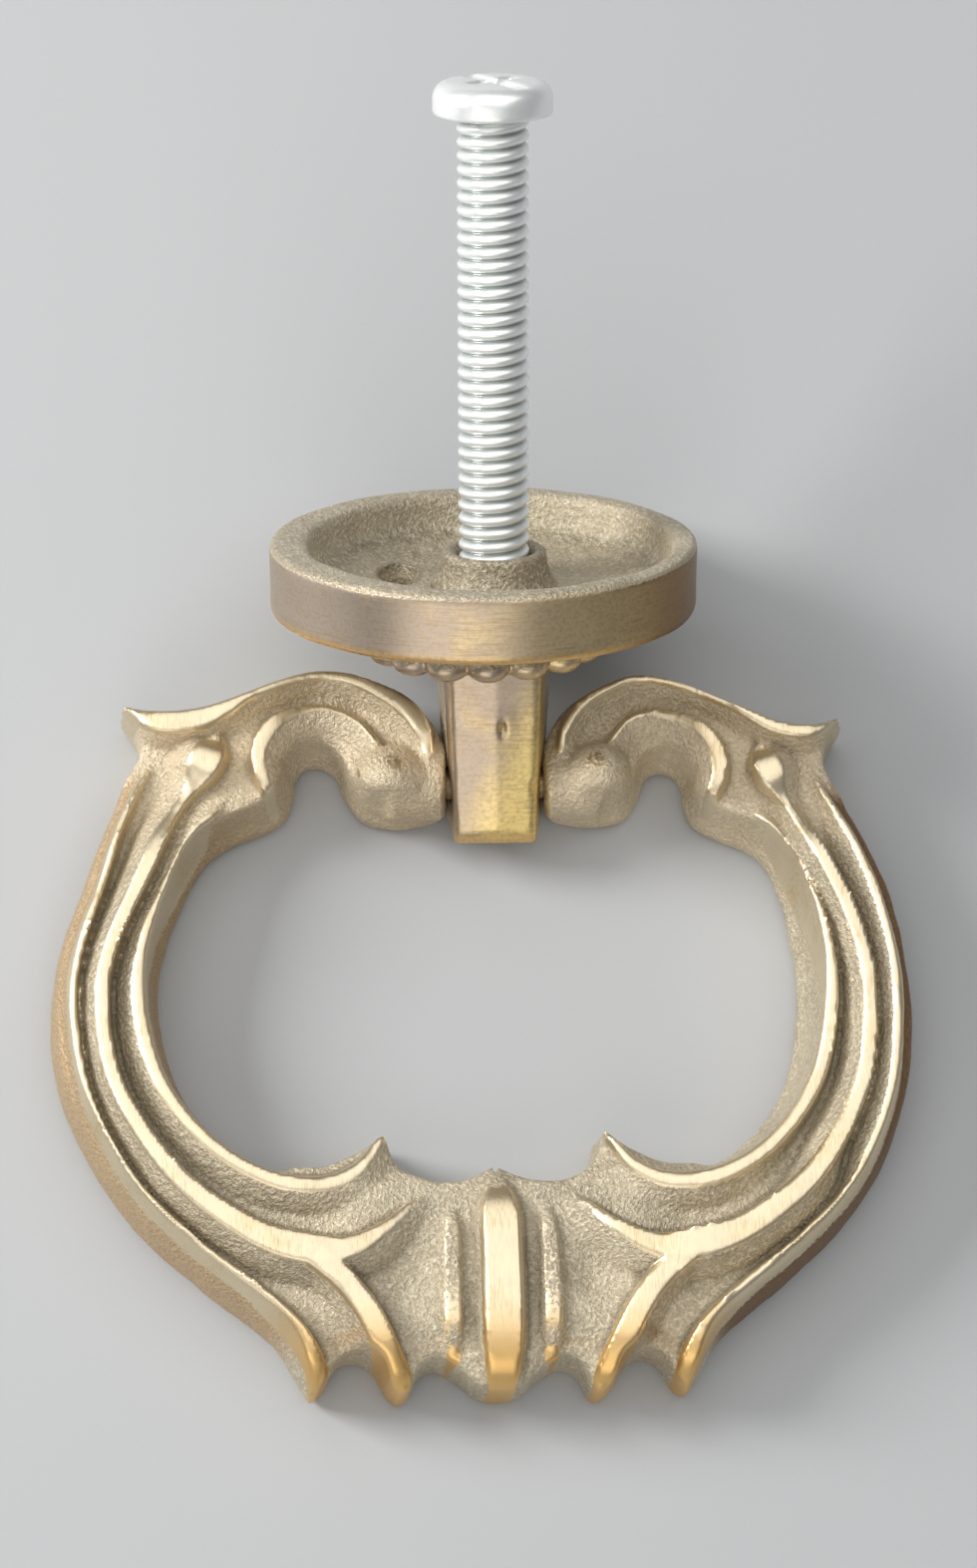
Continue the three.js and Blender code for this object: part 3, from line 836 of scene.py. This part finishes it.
GOLD = (0.79, 0.68, 0.48)
DEEP_GOLD = (0.80, 0.62, 0.34)
ORANGE_GOLD = (0.80, 0.52, 0.20)
PINK_BRASS = (0.54, 0.445, 0.355)
YELLOW_BRASS = (0.98, 0.76, 0.31)
COPPER_TAN = (0.44, 0.31, 0.17)
PALE_TAN = (0.52, 0.39, 0.24)
SCROLL_TAN = (0.92, 0.74, 0.50)
PATINA = (0.42, 0.36, 0.255)
KHAKI = (0.53, 0.46, 0.33)
SAND = (0.76, 0.68, 0.53)
# A brown painted as shade on the right side.
SHADE_BROWN = (0.17, 0.085, 0.03)
# A dark umber: dirt on the pin, and dirt with painted shade in hollows and recesses.
DARK_UMBER = (0.15, 0.12, 0.075)
ZINC = (0.97, 0.99, 0.98)
CLOUDED_ZINC = (0.90, 0.93, 0.91)
# A grey painted as shade in the thread's roots.
GROOVE_SHADE_GREY = (0.20, 0.23, 0.21)


def cast_brass(name, filed_tones, streak, heading=(1, 0, 0), drift=(-3, 3), tarnish=0.0, worn_and_shaded_walls=False):
    """Aged cast brass: bright where it is filed and worn, khaki and sandy where it isn't.

    The two filed tones change over along the heading, between the two places that drift gives. Streak is how
    finely the file marks vary along each axis. Tarnish is how much of the filed metal is mottled, and a
    tarnished piece also shows painted shade that browns its right side, and its grime, which also carries
    painted shade in a recess's corner and sunk patch. A piece with worn and shaded walls has its outer walls
    worn tan, painted brown as shade on the right side, and its left inner wall painted the same tan as shade.
    """
    n = Nodes(name)
    where = n.attribute("own_mm")
    relief = n.attribute("relief")
    blotch = n.noise(where, 0.35, 4.0)
    grain = n.noise(where, 4.2, 3.0)
    fine = n.noise(where, 10.0, 2.0)
    streaks = n.noise(n.stretched(where, streak), 1.0, 3.0)

    # Where the metal is filed or worn bright, and where it is hollow.
    ragged = n.maths("MULTIPLY_ADD", grain, 0.9, -0.45)
    filed = n.span(n.maths("ADD", n.attribute("polish"), ragged), 0.3, 0.6)
    edge = n.span(n.maths("MULTIPLY_ADD", ragged, 0.3, relief), 0.42, 0.75)
    worn = n.maths("MAXIMUM", filed, edge)
    wide_hollow = n.span(n.attribute("hollow"), 0.8, 3.5, 0.0, 0.35)
    hollow = n.maths("MAXIMUM", n.span(relief, -0.1, -0.9), wide_hollow)

    # The colours of the metal as cast, and of the filed and worn metal.
    cast_colour = n.mix(n.span(blotch, 0.35, 0.7), PATINA, KHAKI)
    cast_colour = n.mix(n.span(grain, 0.42, 0.75, 0.0, 0.8), cast_colour, SAND)
    # Dirt and painted shade darken the hollows and creases.
    cast_colour = n.mix(n.maths("MULTIPLY", hollow, 0.65), cast_colour, DARK_UMBER)
    place = n.maths("ADD", n.along(where, heading), n.maths("MULTIPLY_ADD", blotch, 3.0, -1.5))
    gold = n.mix(n.span(place, *drift), *filed_tones)
    gold = n.mix(n.span(blotch, 0.5, 0.8, 0.0, 0.6), gold, DEEP_GOLD)
    dull = n.maths("MULTIPLY", n.span(streaks, 0.4, 0.8), n.span(blotch, 0.3, 0.7))
    gold = n.mix(n.maths("MULTIPLY", dull, 0.8), gold, COPPER_TAN)
    tips = n.attribute("tips")
    gold = n.mix(tips, gold, ORANGE_GOLD)
    if tarnish:
        gold = n.mix(n.maths("MULTIPLY", n.span(grain, 0.4, 0.7), tarnish), gold, COPPER_TAN)
        # Painted shade: the filed metal browns towards the right side.
        gold = n.mix(n.maths("MULTIPLY", n.attribute("right_side_shade"), 0.85), gold, SHADE_BROWN)
        # Grime, and painted shade where a recess's corner and sunk patch are marked, darken the cast metal.
        grime_and_shade = n.maths("MULTIPLY", n.attribute("grime_and_shade"), n.span(grain, 0.3, 0.7, 0.6, 0.25))
        cast_colour = n.mix(grime_and_shade, cast_colour, DARK_UMBER)
    if worn_and_shaded_walls:
        # Worn walls are tan. The left inner wall takes the same tan as painted shade.
        tan = n.mix(n.span(grain, 0.35, 0.7), COPPER_TAN, PALE_TAN)
        # Painted shade browns the right side's worn walls.
        tan = n.mix(n.maths("MULTIPLY", n.attribute("right_side_shade"), 0.85), tan, SHADE_BROWN)
        cast_colour = n.mix(n.maths("MULTIPLY", n.attribute("scroll"), 0.3), cast_colour, SCROLL_TAN)
        cast_colour = n.mix(n.attribute("worn_and_shaded_walls"), cast_colour, tan)
        worn = n.maths("MAXIMUM", worn, n.span(n.maths("MULTIPLY_ADD", tips, 0.25, edge), 0.5, 1.0))
    n.feed(n.shader.inputs["Base Color"], n.mix(worn, cast_colour, gold))
    n.feed(n.shader.inputs["Metallic"], n.span(worn, 0.0, 1.0, 0.4, 1.0))
    rough = n.maths("MULTIPLY_ADD", fine, 0.16, n.span(worn, 0.0, 1.0, 0.42, 0.31))
    n.feed(n.shader.inputs["Roughness"], rough)

    # The cast metal is sandy, and the worn metal has fine file marks.
    sandy = n.bump(grain, 0.2 * MM, 1.0)
    sandy = n.bump(fine, 0.06 * MM, 1.0, sandy)
    marks = n.bump(streaks, 0.012 * MM, 0.8)
    normal = n.add("ShaderNodeMix", {"data_type": "VECTOR"})
    n.feed(normal.inputs[0], worn)
    n.feed(normal.inputs[4], sandy)
    n.feed(normal.inputs[5], marks)
    n.feed(n.shader.inputs["Normal"], normal.outputs[1])
    return n.material


def zinc():
    """Bright zinc plating, a little clouded."""
    n = Nodes("zinc")
    where = n.attribute("own_mm")
    cloud = n.noise(where, 0.6, 3.0)
    bright = n.mix(cloud, ZINC, CLOUDED_ZINC)
    # The thread's roots are painted a dark grey shade.
    n.feed(n.shader.inputs["Base Color"], n.mix(n.attribute("groove"), bright, GROOVE_SHADE_GREY))
    n.shader.inputs["Metallic"].default_value = 0.6
    n.feed(n.shader.inputs["Roughness"], n.span(n.noise(where, 2.5, 2.0), 0.2, 0.8, 0.28, 0.38))
    return n.material


def pin_brass():
    """Turned brass for the pin, dark with age, whose ends only just show."""
    n = Nodes("pin")
    where = n.add("ShaderNodeTexCoord").outputs["Object"]
    rings = n.noise(n.stretched(where, (9000.0, 400.0, 400.0)), 1.0, 2.0)
    n.feed(n.shader.inputs["Base Color"], n.mix(rings, COPPER_TAN, DARK_UMBER))
    n.shader.inputs["Metallic"].default_value = 0.8
    n.feed(n.shader.inputs["Roughness"], n.span(rings, 0.2, 0.8, 0.4, 0.6))
    return n.material


def dress(made, material):
    made.data.materials.clear()
    made.data.materials.append(material)


# ---------- studio ----------
def area_light(name, place, target, size, power, colour):
    """A lamp of a size in metres and a power in watts, at a place and facing a target."""
    lamp = bpy.data.lights.new(name, "AREA")
    lamp.shape = "RECTANGLE"
    lamp.size, lamp.size_y = size
    lamp.energy = power
    lamp.color = colour
    made = bpy.data.objects.new(name, lamp)
    made.location = place
    made.rotation_mode = "QUATERNION"
    made.rotation_quaternion = (Vector(target) - Vector(place)).to_track_quat("-Z", "Y")
    bpy.context.scene.collection.objects.link(made)


def make_floor():
    """The plain pale floor, a hair below the part so that the two don't share a face."""
    half = 1.5
    gap = 0.05 * MM
    corners = [(-half, -half, 0), (half, -half, 0), (half, half, 0), (-half, half, 0)]
    mesh = bpy.data.meshes.new("floor")
    mesh.from_pydata(corners, [], [(0, 1, 2, 3)])
    floor = bpy.data.objects.new("floor", mesh)
    floor.location.z = -gap
    bpy.context.scene.collection.objects.link(floor)
    n = Nodes("floor")
    n.shader.inputs["Base Color"].default_value = (0.43, 0.44, 0.45, 1)
    n.shader.inputs["Roughness"].default_value = 0.7
    dress(floor, n.material)


def make_lights():
    world = bpy.data.worlds.new("studio")
    world.use_nodes = True
    backdrop = world.node_tree.nodes["Background"]
    backdrop.inputs["Color"].default_value = (0.88, 0.93, 1.0, 1)
    backdrop.inputs["Strength"].default_value = 0.22
    bpy.context.scene.world = world
    bpy.context.scene.view_settings.view_transform = "Standard"
    area_light("key", (-0.36, 0.1, 0.24), (0, 0, 0), (0.15, 0.2), 2.0, (1.0, 0.99, 0.97))
    area_light("above", (0.04, 0.1, 0.58), (0, 0, 0), (0.75, 0.75), 2.4, (1.0, 0.98, 0.95))
    area_light("front", (-0.14, -0.42, 0.28), (0, 0, 0.01), (0.5, 0.35), 0.8, (1.0, 0.96, 0.9))


# The camera looks steeply down at the knocker from a little to its left, and is turned slightly on its axis.
# The focal share is the focal length over the long side of the picture.
CAMERA_AZIMUTH = math.radians(-4.19)
CAMERA_ELEVATION = math.radians(72.3)
CAMERA_ROLL = math.radians(3.41)
CAMERA_DISTANCE = 0.3
FOCAL_SHARE = 3.2085
SENSOR = 36
AIM_LEFT = 0.36 * MM


def make_camera():
    lens = bpy.data.cameras.new("camera")
    lens.sensor_width = SENSOR
    lens.lens = SENSOR * FOCAL_SHARE
    lens.clip_start = 0.01
    camera = bpy.data.objects.new("camera", lens)
    a, e = CAMERA_AZIMUTH, CAMERA_ELEVATION
    back = Vector((math.sin(a) * math.cos(e), -math.cos(a) * math.cos(e), math.sin(e)))
    level = Vector((math.cos(a), math.sin(a), 0))
    upright = back.cross(level)
    right = math.cos(CAMERA_ROLL) * level + math.sin(CAMERA_ROLL) * upright
    up = -math.sin(CAMERA_ROLL) * level + math.cos(CAMERA_ROLL) * upright
    turn = Matrix((right, up, back)).transposed()
    place = PIVOT + CAMERA_DISTANCE * back - AIM_LEFT * right
    camera.matrix_world = Matrix.Translation(place) @ turn.to_4x4()
    bpy.context.scene.collection.objects.link(camera)
    bpy.context.scene.camera = camera


def bail_finish():
    return cast_brass("bail_finish", (GOLD, GOLD), (14.0, 1.1, 14.0), worn_and_shaded_walls=True)


def post_finish():
    tones = (PINK_BRASS, YELLOW_BRASS)
    return cast_brass("post_finish", tones, (0.8, 8.0, 0.8), (1, -0.45, 0), (-2.4, 1.4), tarnish=0.4)


def rosette_finish():
    tones = (PINK_BRASS, DEEP_GOLD)
    return cast_brass("rosette_finish", tones, (0.5, 8.0, 0.5), drift=(-2, 6), tarnish=0.35)


make_camera()
make_floor()
make_lights()
dress(make_bail(), bail_finish())
dress(make_post(), post_finish())
dress(make_rosette(), rosette_finish())
plating = zinc()
for part in make_screw():
    dress(part, plating)
dress(frame["nodes"]["pivot_pin"], pin_brass())
